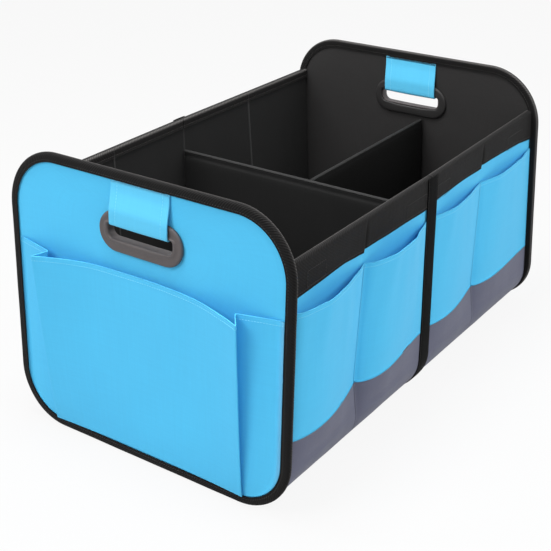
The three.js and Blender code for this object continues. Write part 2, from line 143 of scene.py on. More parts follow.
# Woven cloth and tape. The map runs in metres along the threads of each piece.
def wovenMaterial(name, finish):
    material, tree = newMaterial(name)
    place = addNode(tree, "ShaderNodeUVMap", uv_map="threads").outputs[0]
    split = addNode(tree, "ShaderNodeSeparateXYZ", {0: place})
    turns = 2 * math.pi / finish["pitch"]
    across = calc(tree, "MULTIPLY", split.outputs[0], turns)
    along = calc(tree, "MULTIPLY", split.outputs[1], turns)
    if finish.get("twill"):       # slanting ribs, with a finer wale down them
        slant = calc(tree, "ADD", across, calc(tree, "MULTIPLY", along, finish["twill"]))
        rib = calc(tree, "SINE", slant)
        wale = calc(tree, "SINE", calc(tree, "SUBTRACT", calc(tree, "MULTIPLY", along, 2.3), across))
        weave = calc(tree, "ADD", calc(tree, "MULTIPLY", rib, 0.75), calc(tree, "MULTIPLY", wale, 0.25))
    else:                         # plain weave: over one, under one
        weave = calc(tree, "MULTIPLY", calc(tree, "SINE", across), calc(tree, "SINE", along))
    # uneven yarns, drawn out along each direction
    yarns = []
    for stretch in ((1, 0.05, 1), (0.05, 1, 1)):
        drawn = addNode(tree, "ShaderNodeVectorMath", {0: place, 1: stretch}, operation="MULTIPLY").outputs[0]
        size = 0.55 / finish["pitch"]
        yarn = addNode(tree, "ShaderNodeTexNoise", {"Vector": drawn, "Scale": size, "Detail": 2.0})
        yarns.append(yarn.outputs[0])
    slub = calc(tree, "SUBTRACT", calc(tree, "ADD", yarns[0], yarns[1]), 1.0)
    cloud = addNode(tree, "ShaderNodeTexNoise", {"Vector": place, "Scale": 9.0, "Detail": 3.0}).outputs[0]
    tone = calc(tree, "ADD", calc(tree, "MULTIPLY", weave, finish["weaveTone"]),
                calc(tree, "ADD", calc(tree, "MULTIPLY", slub, finish["slubTone"]),
                     calc(tree, "MULTIPLY", calc(tree, "SUBTRACT", cloud, 0.5), finish["cloudTone"])))
    level = calc(tree, "ADD", tone, 0.5)
    level.node.use_clamp = True
    colour = finish["colour"]
    dyed = blended(tree, level, shaded(colour, finish["low"]), shaded(colour, finish["high"]))
    # folded edges and sewn lines are painted lighter: partly rubbed wear, partly a painted highlight where
    # light catches them
    rubbedAndHighlit = addNode(tree, "ShaderNodeAttribute", attribute_name="wear").outputs["Fac"]
    patchy = calc(tree, "MULTIPLY", rubbedAndHighlit, calc(tree, "ADD", calc(tree, "MULTIPLY", weave, 0.45), 0.6))
    base = addNode(tree, "ShaderNodeMix", {0: patchy, 6: dyed}, data_type="RGBA")
    base.inputs[7].default_value = shaded(finish.get("wornAndHighlit", colour), 1)
    even = finish["roughness"]
    rough = addNode(tree, "ShaderNodeMapRange", {0: cloud, 3: even - 0.08, 4: even + 0.08})
    height = calc(tree, "ADD", weave, calc(tree, "MULTIPLY", slub, 1.5))
    bump = addNode(tree, "ShaderNodeBump",
                   {"Height": height, "Strength": finish["bump"], "Distance": finish["relief"]})
    shader = addNode(tree, "ShaderNodeBsdfPrincipled", {
        "Base Color": base.outputs[2], "Roughness": rough.outputs[0], "Normal": bump.outputs[0],
        "Specular IOR Level": finish["specular"], "Sheen Weight": finish["sheen"], "Sheen Roughness": 0.5,
    })
    return finished(material, shader)


# Moulded plastic with a fine spark-eroded grain
def mouldedMaterial(name, finish):
    material, tree = newMaterial(name)
    place = addNode(tree, "ShaderNodeTexCoord").outputs["Object"]
    grain = addNode(tree, "ShaderNodeTexNoise", {"Vector": place, "Scale": 1900.0, "Detail": 2.0}).outputs[0]
    flow = addNode(tree, "ShaderNodeTexNoise", {"Vector": place, "Scale": 45.0, "Detail": 3.0}).outputs[0]
    scuff = addNode(tree, "ShaderNodeTexNoise", {"Vector": place, "Scale": 320.0, "Detail": 5.0}).outputs[0]
    tint = blended(tree, flow, shaded(finish["colour"], 0.85), shaded(finish["colour"], 1.15))
    even = finish["roughness"]
    rough = addNode(tree, "ShaderNodeMapRange", {0: scuff, 3: even - 0.1, 4: even + 0.12})
    bump = addNode(tree, "ShaderNodeBump", {"Height": grain, "Strength": 0.25, "Distance": 0.00006})
    shader = addNode(tree, "ShaderNodeBsdfPrincipled", {
        "Base Color": tint, "Roughness": rough.outputs[0], "Normal": bump.outputs[0],
        "Specular IOR Level": 0.45,
    })
    return finished(material, shader)


# Pressed fibre board, inside the cloth
def fibreMaterial(name, finish):
    material, tree = newMaterial(name)
    place = addNode(tree, "ShaderNodeTexCoord").outputs["Object"]
    drawn = addNode(tree, "ShaderNodeVectorMath", {0: place, 1: (1, 1, 0.2)}, operation="MULTIPLY").outputs[0]
    fibre = addNode(tree, "ShaderNodeTexNoise", {"Vector": drawn, "Scale": 420.0, "Detail": 5.0}).outputs[0]
    tint = blended(tree, fibre, shaded(finish["colour"], 0.6), shaded(finish["colour"], 1.4))
    bump = addNode(tree, "ShaderNodeBump", {"Height": fibre, "Strength": 0.4, "Distance": 0.0002})
    shader = addNode(tree, "ShaderNodeBsdfPrincipled", {
        "Base Color": tint, "Roughness": finish["roughness"], "Normal": bump.outputs[0]})
    return finished(material, shader)


# pitch and relief in metres; low and high are how far the yarns go below and above the colour
plainWeave = {"pitch": 0.0016, "weaveTone": 0.10, "slubTone": 0.22, "cloudTone": 0.25, "roughness": 0.72,
              "bump": 0.35, "relief": 0.00012, "specular": 0.25, "sheen": 0.12, "low": 0.72, "high": 1.25}
darkWeave = dict(plainWeave, slot="black_lining", weaveTone=0.2, low=0.7, high=1.4, sheen=0.04, specular=0.18)
twillTape = {"slot": "black_tape", "pitch": 0.0031, "twill": 0.8, "weaveTone": 0.62, "slubTone": 0.4,
             "cloudTone": 0.2, "roughness": 0.7, "bump": 0.7, "relief": 0.0004, "specular": 0.13,
             "sheen": 0.02, "high": 1.8}
finishes = {
    "blueCloth": dict(plainWeave, slot="blue_cloth", colour=toLinear((79, 196, 250)), low=0.84, high=1.14),
    "strapCloth": dict(plainWeave, slot="strap_cloth", colour=toLinear((92, 200, 243)), low=0.86, high=1.12),
    "greyCloth": dict(plainWeave, slot="grey_cloth", colour=toLinear((98, 100, 119)), low=0.8, high=1.2),
    # the second, light colour of a finish is that of rubbed edges and their painted highlight
    "blackTape": dict(twillTape, colour=toLinear((15, 14, 14)), low=0.35, wornAndHighlit=toLinear((100, 98, 97))),
    "middleTape": dict(twillTape, colour=toLinear((10, 10, 10)), low=0.45, specular=0.05, sheen=0.0),
    "lining": dict(darkWeave, colour=toLinear((27, 27, 27)), wornAndHighlit=toLinear((100, 100, 100))),
    # a lighter copy of the lining for the ends' insides: painted light, as the far end's inside is better lit
    # than the walls
    "litEndLining": dict(darkWeave, colour=toLinear((44, 43, 43))),
    # a darker copy of the lining for the long divider: painted shade of the deep front compartment
    "shadedDividerCloth": dict(darkWeave, colour=toLinear((11, 11, 11)), wornAndHighlit=toLinear((80, 80, 80)),
                         sheen=0.02, specular=0.1),
    "blueThread": dict(plainWeave, colour=toLinear((140, 222, 253)), pitch=0.0006, low=0.95, high=1.1),
    "blackThread": dict(plainWeave, colour=toLinear((62, 60, 59)), pitch=0.0006),
}
clothMaterials = {name: wovenMaterial(name, finish) for name, finish in finishes.items()}
greyPlastic = mouldedMaterial("greyPlastic", {"colour": toLinear((82, 76, 76)), "roughness": 0.48})
blackPlastic = mouldedMaterial("blackPlastic", {"colour": toLinear((40, 39, 39)), "roughness": 0.5})
fibreBoard = fibreMaterial("fibreBoard", {"colour": toLinear((138, 107, 72)), "roughness": 0.85})
print("materials made")


# The ends stand inward towards the top, and each long wall gives way a little at its folds.
# All pieces follow.
sunkFold = {
    "heights": (0, 16, 62, 95, 265, 290), "depths": (0, -0.5, 4.5, 6.5, 0.5, 0), "reach": 138,
    "frontDrift": 6,          # in front the folds run this much towards the near end on their way down
    "backDrift": (8.5, 3),    # and at the back they lie this much towards the far end
    "driftFrom": 265, "driftTo": 95, "straightAgain": 15,
}
farTaper = {"share": 0.027, "height": 300}       # the walls draw the far end in at its top


def fromFold(x, side=-1):         # distance from the nearest fold; side 1 is the back, built facing the front
    return np.min([np.abs(np.asarray(x, float) + side * fold) for fold in organizer["folds"]], axis=0)


def leanIn(points):
    points = np.asarray(points, float)
    shaped = points.copy()
    depth = np.interp(shaped[..., 2], sunkFold["heights"], sunkFold["depths"])
    sunk = depth * np.clip(1 - fromFold(shaped[..., 0]) / sunkFold["reach"], 0, 1)
    share = np.clip(0.5 - 0.5 * shaped[..., 1] / wallHalf(0), 0, 1)       # 1 at the front, 0 at the back
    s = sunkFold
    down = np.interp(shaped[..., 2], (s["straightAgain"], s["driftTo"], s["driftFrom"]), (0, 1, 0))
    back = np.where(shaped[..., 0] < 0, *s["backDrift"])
    drift = (1 - share) * back - share * s["frontDrift"] * down
    shaped[..., 1] *= 1 - sunk / wallHalf(0)
    towardsFar = np.clip(shaped[..., 0] / half, 0, 1)
    shaped[..., 1] *= 1 - farTaper["share"] * towardsFar * shaped[..., 2] / farTaper["height"]
    shaped[..., 0] += drift * np.clip(1 - fromFold(points[..., 0]) / sunkFold["reach"], 0, 1)
    shaped[..., 0] *= 1 - leanRate * shaped[..., 2]
    return shaped


# Mesh helpers. A sheet is a grid of points seen from outside: columns from left to right, rows downward.

def unit(vectors):
    return vectors / np.maximum(np.linalg.norm(vectors, axis=-1, keepdims=True), 1e-9)


def gridOf(x, y, z):              # points from coordinates that are numbers, rows, columns or full grids
    return np.stack(np.broadcast_arrays(x, y, z), axis=-1)


def runAlong(path):               # how far each point of a line lies along it
    return np.concatenate([[0], np.cumsum(np.linalg.norm(np.diff(path, axis=0), axis=1))])


def steps(grid, axis, wrap):
    if wrap:
        return np.roll(grid, -1, axis) - np.roll(grid, 1, axis)
    return np.gradient(grid, axis=axis)


def sheetNormals(grid, wrap=False):
    return unit(np.cross(steps(grid, 1, wrap), -steps(grid, 0, False)))


def lengthsAlong(grid, axis):     # how far each point lies along the cloth, in mm
    moved = np.diff(grid, axis=axis)
    length = np.cumsum(np.linalg.norm(moved, axis=-1).mean(axis=1 - axis))
    return np.concatenate([[0], length])


def meshObject(name, points, faces, faceMaps, material):
    mesh = bpy.data.meshes.new(name)
    mesh.from_pydata((leanIn(points) / 1000).tolist(), [], faces)
    threads = mesh.uv_layers.new(name="threads")
    threads.data.foreach_set("uv", np.array(faceMaps, np.float32).ravel() / 1000)
    mesh.materials.append(material)
    mesh.polygons.foreach_set("use_smooth", [True] * len(mesh.polygons))
    mesh.update()
    piece = bpy.data.objects.new(name, mesh)
    bpy.context.scene.collection.objects.link(piece)
    return piece


def softSheet(name, outer, thickness, material, rim=0.35, rimSteps=1, wrap=False, wear=None):
    rows, columns = outer.shape[:2]
    thick = np.broadcast_to(np.asarray(thickness, float), (rows, columns))
    inner = outer - sheetNormals(outer, wrap) * thick[..., None]
    down = lengthsAlong(outer, 0)
    over = lengthsAlong(outer, 1)
    if wrap:
        over = np.concatenate([over, [over[-1] + np.linalg.norm(outer[:, 0] - outer[:, -1], axis=-1).mean()]])
    index = np.arange(rows * columns).reshape(rows, columns)
    points = [outer.reshape(-1, 3), inner.reshape(-1, 3)]
    rubbedAndHighlit = np.zeros((rows, columns)) if wear is None else np.broadcast_to(wear, (rows, columns))
    wears = [rubbedAndHighlit.ravel(), rubbedAndHighlit.ravel()]
    faces, maps = [], []
    spans = columns if wrap else columns - 1
    for j in range(rows - 1):
        for i in range(spans):
            n = (i + 1) % columns
            corners = (index[j + 1, i], index[j + 1, n], index[j, n], index[j, i])
            left, right, upper, lower = over[i], over[i + 1], down[j], down[j + 1]
            corner = ((left, lower), (right, lower), (right, upper), (left, upper))
            faces.append(corners)
            maps.extend(corner)
            faces.append(tuple(c + rows * columns for c in reversed(corners)))
            maps.extend(reversed(corner))
    # rounded edge between the two sides, outward of the last row or column
    topEdge = [(0, i) for i in reversed(range(columns))]
    if wrap:
        loops = [topEdge, [(rows - 1, i) for i in range(columns)]]
    else:
        leftEdge = [(j, 0) for j in range(1, rows)]
        footEdge = [(rows - 1, i) for i in range(1, columns)]
        rightEdge = [(j, columns - 1) for j in reversed(range(1, rows - 1))]
        loops = [topEdge + leftEdge + footEdge + rightEdge]
    for loop in loops:
        outward = []
        for j, i in loop:
            away = np.zeros(3)
            if j in (0, rows - 1):
                away += unit(outer[j, i] - outer[1 if j == 0 else rows - 2, i])
            if not wrap and i in (0, columns - 1):
                away += unit(outer[j, i] - outer[j, 1 if i == 0 else columns - 2])
            outward.append(away)
        outward = unit(np.array(outward))
        places = tuple(np.array(loop).T)
        top, bottom = outer[places], inner[places]
        rings = [index[places]]
        for k in range(1, rimSteps + 1):
            turn = math.pi * k / (rimSteps + 1)
            ring = (top + bottom) / 2 + (top - bottom) / 2 * math.cos(turn) + outward * rim * math.sin(turn)
            rings.append(sum(len(p) for p in points) + np.arange(len(loop)))
            points.append(ring)
            wears.append(rubbedAndHighlit[places])
        rings.append(index[places] + rows * columns)
        edge = runAlong(top)
        edge = np.concatenate([edge, [edge[-1] + 1]])
        for k in range(len(rings) - 1):
            for i in range(len(loop)):
                n = (i + 1) % len(loop)
                faces.append((rings[k][i], rings[k][n], rings[k + 1][n], rings[k + 1][i]))
                maps.extend(((edge[i], k), (edge[i + 1], k), (edge[i + 1], k + 1), (edge[i], k + 1)))
    piece = meshObject(name, np.concatenate(points), faces, maps, material)
    # the lighter mark of rubbed edges and painted highlights, kept on each point for the cloth material
    if wear is not None:
        piece.data.attributes.new("wear", "FLOAT", "POINT").data.foreach_set("value", np.concatenate(wears))
    return piece


# A ring of moulded plastic: one closed profile carried round, given as a grid [around, profile]
def mouldedRing(name, grid, material):
    around, count = grid.shape[:2]
    faces, maps = [], []
    for i in range(around):
        for k in range(count):
            n, m = (i + 1) % around, (k + 1) % count
            faces.append((i * count + k, n * count + k, n * count + m, i * count + m))
            maps.extend(((i, k), (i + 1, k), (i + 1, k + 1), (i, k + 1)))
    return meshObject(name, grid.reshape(-1, 3), faces, maps, material)


def rumple(points, size, seed):   # soft uneven waves, the same each time
    flat = np.asarray(points, float).reshape(-1, 3) / size + seed * 7.3
    values = [noise.noise(Vector(p)) for p in flat]
    return np.array(values).reshape(np.shape(points)[:-1])


def easeIn(distance, reach):      # 0 at an edge, 1 from "reach" onward
    t = np.clip(np.asarray(distance, float) / reach, 0, 1)
    return t * t * (3 - 2 * t)


def crease(x, at, width):         # 1 on a line, fading beside it
    return np.exp(-((np.asarray(x, float) - at) / width) ** 2)


# Sewing thread: short stitches that lie on the cloth and dive into it at both ends
stitching = {"length": 2.7, "pitch": 3.3, "radius": 0.2, "sides": 5}


def stitchRow(path, up, closed=False):
    path, up = np.asarray(path, float), unit(np.asarray(up, float))
    if closed:
        path = np.concatenate([path, path[:1]])
        up = np.concatenate([up, up[:1]])
    run = runAlong(path)
    at = lambda table, d: np.array([np.interp(d, run, table[:, k]) for k in range(3)]).T
    count = max(int(run[-1] / stitching["pitch"]), 1)
    shape = ((0, -0.9, 0.4), (0.22, 0.35, 1), (0.78, 0.35, 1), (1, -0.9, 0.4))     # along, lift, thickness
    rows = []
    for s in range(count):
        start = (s + 0.12) * run[-1] / count
        places = [start + share * stitching["length"] for share, lift, thick in shape]
        centres, ups = at(path, places), at(up, places)
        forward = unit(centres[-1] - centres[0])
        side = unit(np.cross(forward, ups))
        for (share, lift, thick), centre, u, w in zip(shape, centres, ups, side):
            r = stitching["radius"]
            turn = np.linspace(0, 2 * math.pi, stitching["sides"], endpoint=False)
            ring = centre + u * lift * r + r * thick * (np.outer(np.cos(turn), w) + np.outer(np.sin(turn), u))
            rows.append(ring)
    return np.array(rows).reshape(count, len(shape), stitching["sides"], 3)


def stitches(name, runs, thread):
    points, faces, maps = [], [], []
    sides = stitching["sides"]
    start = 0
    for run in runs:
        for stitch in run:
            base = start
            points.append(stitch.reshape(-1, 3))
            rings = len(stitch)
            start += rings * sides
            for k in range(rings - 1):
                for i in range(sides):
                    n = (i + 1) % sides
                    faces.append((base + k * sides + i, base + k * sides + n,
                                  base + (k + 1) * sides + n, base + (k + 1) * sides + i))
                    maps.extend(((i, k), (i + 1, k), (i + 1, k + 1), (i, k + 1)))
            faces.append(tuple(base + i for i in reversed(range(sides))))
            maps.extend((i, 0) for i in range(sides))
            faces.append(tuple(base + (rings - 1) * sides + i for i in range(sides)))
            maps.extend((i, 0) for i in range(sides))
    piece = meshObject(name, np.concatenate(points), faces, maps, clothMaterials[thread])
    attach(piece, "root")


def keep(piece, node):
    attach(piece, "root")
    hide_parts(node)
    return piece


def clothPiece(name, grid, thickness, finish, node, **look):
    piece = softSheet(name, grid, thickness, clothMaterials[finish], **look)
    return keep(piece, node)


# A cloth, made as a soft sheet; its size when cut (in millimetres here), how it is held, what it rests on and
# its area are taken but not used
def sewnCloth(name, grid, thickness, finish, node, cut, held, restsOn, area=None, **look):
    piece = clothPiece(name, grid, thickness, finish, node, **look)


def boardsOf(wallName, halfName):
    return [f"{wallName}_board_{i}" for i in ((1, 2) if halfName == "near" else (3, 4))]


# Outline with round corners in (across, up), counter-clockwise as seen from outside the end
def roundedOutline(halfWidth, low, high, upper, lower, arcSteps, straightSteps):
    points = []
    corners = [(halfWidth - lower, low + lower, lower, -90), (halfWidth - upper, high - upper, upper, 0),
               (-halfWidth + upper, high - upper, upper, 90), (-halfWidth + lower, low + lower, lower, 180)]
    ends = []
    for across, up, radius, start in corners:
        turn = np.radians(np.linspace(start, start + 90, arcSteps + 1))
        ends.append(np.stack([across + radius * np.cos(turn), up + radius * np.sin(turn)], axis=1))
    for k, arc in enumerate(ends):
        points.append(arc)
        following = ends[(k + 1) % 4][0]
        share = np.linspace(0, 1, straightSteps + 2)[1:-1, None]
        points.append(arc[-1] * (1 - share) + following * share)
    return np.concatenate(points)


def endOutline(inset, arcSteps=20, straightSteps=40):
    o = organizer
    return roundedOutline(o["width"] / 2 - inset, inset, o["endHeight"] - inset,
                          o["topRadius"] - inset, o["footRadius"] - inset, arcSteps, straightSteps)


# Where a ray from the hand hole's middle meets an outline, for each angle
def onRays(outline, centre, angles):
    offset = outline - np.array(centre)
    found = np.arctan2(offset[:, 1], offset[:, 0])
    reach = np.linalg.norm(offset, axis=1)
    radius = np.interp(angles, found, reach, period=2 * math.pi)
    return np.array(centre) + radius[:, None] * np.stack([np.cos(angles), np.sin(angles)], axis=1)


def dense(outline, spacing=0.25):
    closed = np.concatenate([outline, outline[:1]])
    run = runAlong(closed)
    at = np.arange(0, run[-1], spacing)
    return np.stack([np.interp(at, run, closed[:, 0]), np.interp(at, run, closed[:, 1])], axis=1)


def anglesOf(centre, *samples):
    found = []
    for outline, spacing in samples:
        points = dense(outline, spacing) - np.array(centre)
        found.append(np.arctan2(points[:, 1], points[:, 0]))
    merged = np.sort(np.concatenate(found))
    kept = [merged[0]]
    for angle in merged[1:]:
        if angle - kept[-1] > 0.004:
            kept.append(angle)
    return np.array(kept)


# Places on an end: "out" from the inner face of its binding, across and up. Turned round for the near end.
def onEnd(side, out, across, up):
    return gridOf(side * (endInside + out), side * across, up)


# Hand hole
handHole = {
    "middle": 268.5, "slotWidth": 87, "slotHeight": 17, "slotTopRadius": 3.5, "slotFootRadius": 8,
    "ringWidth": 112, "ringHeight": 45,
    "ringProud": 4.5,         # outer ring above the cloth
    "innerProud": 3,          # inner ring above the lining
    "sleeveWall": 2,
}
holeCentre = (0, handHole["middle"])


def slotOutline(grow):
    h = handHole
    high = h["slotHeight"] / 2 + grow
    return roundedOutline(h["slotWidth"] / 2 + grow, h["middle"] - high, h["middle"] + high,
                          h["slotTopRadius"] + grow, h["slotFootRadius"] + grow, 12, 40)


def ringOutline():
    high = handHole["ringHeight"] / 2
    middle = handHole["middle"]
    return roundedOutline(handHole["ringWidth"] / 2, middle - high, middle + high, high, high, 24, 40)


outerRingTop = faceSurface + gap + handHole["ringProud"]
innerRingTop = layer - gap - handHole["innerProud"]


def ringGrid(side, profile):
    angles = anglesOf(holeCentre, (slotOutline(0), 2.2), (ringOutline(), 2.2))
    slot = onRays(dense(slotOutline(0)), holeCentre, angles)
    edge = onRays(dense(ringOutline()), holeCentre, angles)
    share = np.array([p[0] for p in profile])[None, :, None]
    flat = slot[:, None] * (1 - share) + edge[:, None] * share
    out = np.array([p[1] for p in profile])[None, :]
    return onEnd(side, out, flat[..., 0], flat[..., 1])


def handRings(end, side):
    top, seat = outerRingTop, faceSurface + gap
    low, base = innerRingTop, layer - gap
    flange = (handHole["ringHeight"] - handHole["slotHeight"]) / 2
    wall = handHole["sleeveWall"] / flange
    start = wall + gap / flange
    # share of the way from the slot to the rim, and height: a rim, a shallow dish, a raised lip, the sleeve
    outer = [(1, seat), (1.01, seat + 1.2), (1, seat + 2.2), (0.975, seat + 3), (0.93, seat + 3.5),
             (0.86, seat + 3.7), (0.74, seat + 3.5), (0.62, seat + 3.35), (0.5, seat + 3.4),
             (0.4, seat + 3.7), (0.31, top - 0.15), (0.23, top), (0.15, top - 0.1), (0.08, top - 0.6),
             (0.03, top - 1.5), (0, top - 3), (0, faceSurface - 3), (0, low + 2.2), (0.02, low + 1.6),
             (wall - 0.02, low + 1.6), (wall, low + 2.2), (wall, seat - 0.2), (wall + 0.02, seat)]
    inner = [(1, base), (1, base - 0.8), (0.985, base - 1.7), (0.94, base - 2.4), (0.86, base - 2.7),
             (0.6, low + 0.1), (0.36, low), (start + 0.07, low + 0.1), (start + 0.015, low + 0.5),
             (start, low + 1.2), (start, base)]
    for part, profile, plastic, slotName in (("outer", outer[::-1], greyPlastic, "grey_plastic"),
                                             ("inner", inner, blackPlastic, "black_plastic")):
        ring = mouldedRing(f"{end}_hand_ring_{part}", ringGrid(side, profile), plastic)
        keep(ring, f"{end}_handle_{part}_ring")


# Cloths of an end: they lie flat on the board, tight at the hole and puckered where the binding is sewn on
endCloth = {"inset": 3.2, "pucker": 0.16, "puckerReach": 16, "puckerLength": 11, "swell": 0.5, "rows": 31,
            "wave": 0.22, "waveLength": 46}


def endCloths(end, side):
    angles = anglesOf(holeCentre, (slotOutline(2), 3), (endOutline(endCloth["inset"]), 4))
    hole = onRays(dense(slotOutline(handHole["sleeveWall"] + gap)), holeCentre, angles)
    edge = onRays(dense(endOutline(endCloth["inset"])), holeCentre, angles)
    run = runAlong(edge)
    share = (1 - np.cos(np.linspace(0, math.pi, endCloth["rows"])))[:, None, None] / 2
    flat = hole[None] * (1 - share) + edge[None] * share
    fromEdge = np.linalg.norm(flat - edge[None], axis=-1)
    nearEdge = np.exp(-fromEdge / endCloth["puckerReach"]) * easeIn(fromEdge, 5)
    pucker = endCloth["pucker"] * nearEdge * np.sin(run / endCloth["puckerLength"] * 2 * math.pi)
    swell = endCloth["swell"] * easeIn(fromEdge - 3, 14) * easeIn(share[..., 0] * 60, 16)
    flat3 = np.concatenate([flat, np.zeros(flat.shape[:2] + (1,))], axis=-1)
    wave = endCloth["wave"] * rumple(flat3, endCloth["waveLength"], 3 + side) * easeIn(fromEdge, 20)
    area = abs(shoelace(endOutline(0))) - abs(shoelace(slotOutline(2)))
    sewn = {"cut": (organizer["width"], organizer["endHeight"]), "area": area / 1e6, "held": "stretched",
            "restsOn": [f"{end}_end_board"], "wrap": True}
    out = faceSurface - gap - endCloth["swell"] + swell + pucker + wave
    blue = onEnd(side, out, flat[..., 0], flat[..., 1])
    sewnCloth(f"{end}_end_cloth", blue, cloth, "blueCloth", f"{end}_end_face", **sewn)
    # the board is plain and takes every fifth row
    board = onEnd(side, 2 * layer + organizer["endBoard"], flat[::5, :, 0], flat[::5, :, 1])
    piece = softSheet(f"{end}_stiff_board", board, organizer["endBoard"], fibreBoard, wrap=True, rim=0.2)
    keep(piece, f"{end}_end_board")
    # the lining faces inward, so its grid runs the other way round
    dark = onEnd(side, layer + gap - swell * 0.5 - pucker - wave, flat[..., 0], flat[..., 1])[:, ::-1]
    sewnCloth(f"{end}_end_inside_cloth", dark, cloth, "litEndLining", f"{end}_end_liner", **sewn)


def shoelace(outline):
    following = np.roll(outline, -1, axis=0)
    return float((outline[:, 0] * following[:, 1] - following[:, 0] * outline[:, 1]).sum() / 2)


# Binding tape folded over an end's edge and sewn through
endTape = {"leg": 10.2, "stitchAt": 7.6, "radius": 3.4, "bulge": 0.4, "dip": 0.3, "thickness": 1.0}


def tapeProfile():                # (inset, out) from the front leg's edge over the crest to the back leg's
    t = endTape
    front, radius = bindingDepth, t["radius"]
    inset = np.linspace(t["leg"], radius, 7)
    lift = t["bulge"] * np.sin(np.pi * (t["leg"] - inset) / t["leg"] * 1.4)
    lift -= t["dip"] * crease(inset, t["stitchAt"], 0.7)
    leg = [(i, front + l) for i, l in zip(inset, lift)]
    turn = np.radians(np.linspace(90, 180, 9))[1:]
    bend = [(radius * (1 + math.cos(a)), front - radius + (radius + lift[-1]) * math.sin(a)) for a in turn]
    over = leg + bend
    return over + [(i, bindingDepth - o) for i, o in reversed(over)]


def endBindings(end, side):
    profile = tapeProfile()
    rows = [endOutline(inset) for inset, out in profile]
    along = np.arange(len(rows[0]))
    slack = 0.12 * np.sin(along / 3.1) + 0.1 * np.sin(along / 1.7)
    grid = np.stack([onEnd(side, out + (0.5 if k < len(rows) / 2 else -0.5) * slack, row[:, 0], row[:, 1])
                     for k, (row, (inset, out)) in enumerate(zip(rows, profile))])
    # the tape's crest is painted lighter: a painted highlight with a little rubbed wear
    wear = [[crease(inset, 0.2, 1.3) * crease(out, 1.8, 1.4)] for inset, out in profile]
    clothPiece(f"{end}_end_tape", grid, endTape["thickness"], "blackTape", f"{end}_end_binding",
               rim=0.3, wrap=True, wear=wear)
    runs = []
    for out, up in ((bindingDepth + 0.12, 1), (-0.12, -1)):
        line = endOutline(endTape["stitchAt"])
        path = onEnd(side, out, line[:, 0], line[:, 1])
        runs.append(stitchRow(path, np.broadcast_to([side * up, 0, 0], path.shape), closed=True))
    stitches(f"{end}_end_tape_stitching", runs, "blackThread")


# A line of 2D points with rounded corners
def roundedLine(corners, radius, bendSteps=7, spacing=4.0):
    corners = [np.array(c, float) for c in corners]
    line = [corners[0]]
    for before, corner, after in zip(corners, corners[1:], corners[2:]):
        back, ahead = before - corner, after - corner
        reach = min(radius, np.linalg.norm(back) * 0.45, np.linalg.norm(ahead) * 0.45)
        start, end = corner + unit(back) * reach, corner + unit(ahead) * reach
        for t in np.linspace(0, 1, bendSteps):
            line.append(start * (1 - t) ** 2 + corner * 2 * t * (1 - t) + end * t * t)
    line.append(corners[-1])
    filled = [line[0]]
    for point in line[1:]:
        parts = max(1, round(np.linalg.norm(point - filled[-1]) / spacing))
        before = filled[-1]
        filled.extend(before + (point - before) * k / parts for k in range(1, parts + 1))
    return np.array(filled)


# Blue strap: from under the binding, over the rings' upper bar, through the slot and up again inside
handStrap = {"width": 78, "thickness": 1.6, "ramp": 20, "bend": 4, "stitchIn": 7.5, "columns": 29}


def handStraps(end, side):
    s = handStrap
    t = s["thickness"]
    start = organizer["endHeight"] - endTape["leg"] - 0.3
    ringTop = handHole["middle"] + handHole["ringHeight"] / 2 + 2.4
    low = handHole["middle"] + handHole["slotHeight"] / 2 - gap
    over, onFace = outerRingTop + gap + t, faceSurface + gap + t
    under, onLining = innerRingTop - gap - t, layer - gap - t
    line = roundedLine([(onFace - 0.4, start), (onFace, ringTop + s["ramp"]), (over, ringTop - 1),
                        (over + 0.1, low - t), (under - 0.1, low - t), (under, ringTop - 1),
                        (onLining, ringTop + s["ramp"]), (onLining + 0.4, start)], s["bend"], spacing=3.0)
    across = -np.cos(np.linspace(0, math.pi, s["columns"])) * s["width"] / 2
    fromSide = s["width"] / 2 - np.abs(across)
    out = np.repeat(line[:, :1], s["columns"], axis=1)
    up = np.repeat(line[:, 1:], s["columns"], axis=1)
    # folded edges stand a little higher, the sewn line sinks, and the cloth sags a little over the bar
    middle = (over + under) / 2
    outward = np.sign(out - middle)
    relief = 0.35 * crease(fromSide, 2.5, 3) - 0.3 * crease(fromSide, s["stitchIn"], 1.1)
    out = out + outward * relief * easeIn(np.abs(out - middle), 4)
    up = up - 0.5 * np.cos(across / s["width"] * math.pi) * (up < low + 1)
    grid = onEnd(side, out, np.broadcast_to(across, out.shape), up)
    sewnCloth(f"{end}_hand_strap", grid, t - 0.2, "strapCloth", f"{end}_handle_strap",
              cut=(s["width"], round(lengthsAlong(grid, 0)[-1])), held="folded",
              restsOn=[f"{end}_handle_outer_ring"], rim=0.5, rimSteps=2)
    runs = []
    for edge in (-1, 1):
        column = int(np.argmin(np.abs(across - edge * (s["width"] / 2 - s["stitchIn"]))))
        normals = sheetNormals(grid)[:, column]
        runs.append(stitchRow(grid[:, column] + normals * 0.05, normals))
    stitches(f"{end}_hand_strap_stitching", runs, "blueThread")


for end, side in (("near", -1), ("far", 1)):
    handRings(end, side)
    endCloths(end, side)
    endBindings(end, side)
    handStraps(end, side)
print("ends made")


# Pleated pocket of the near end. At each height the cloth runs from the binding along the face to the
# pleat's inner fold, out to its outer fold, and across the front.
endPocket = {
    "hem": 227, "cornerProud": 25, "middleProud": 6, "foldProud": 9.5, "pleatInner": 130, "pleatOuter": 139,
    "footInner": 127, "footOuter": 134, "droop": 6, "opening": 0.8, "hollow": 2.5,
    "hemWidth": 11, "stitchBelow": 5, "rows": 44, "frontColumns": 34, "edge": 11.2,
    "fan": 0.7, "fanLength": 15.5, "slack": 1.5, "slackLength": 60,      # soft folds of the hanging front
}


# Heights of a pocket's rows below its top: two close rows at the hem's edge, its stitches and its foot
def hemLevels(hemWidth, below):
    return np.concatenate([[0, 0.5, hemWidth * 0.5, hemWidth, hemWidth + 0.6], hemWidth + below])


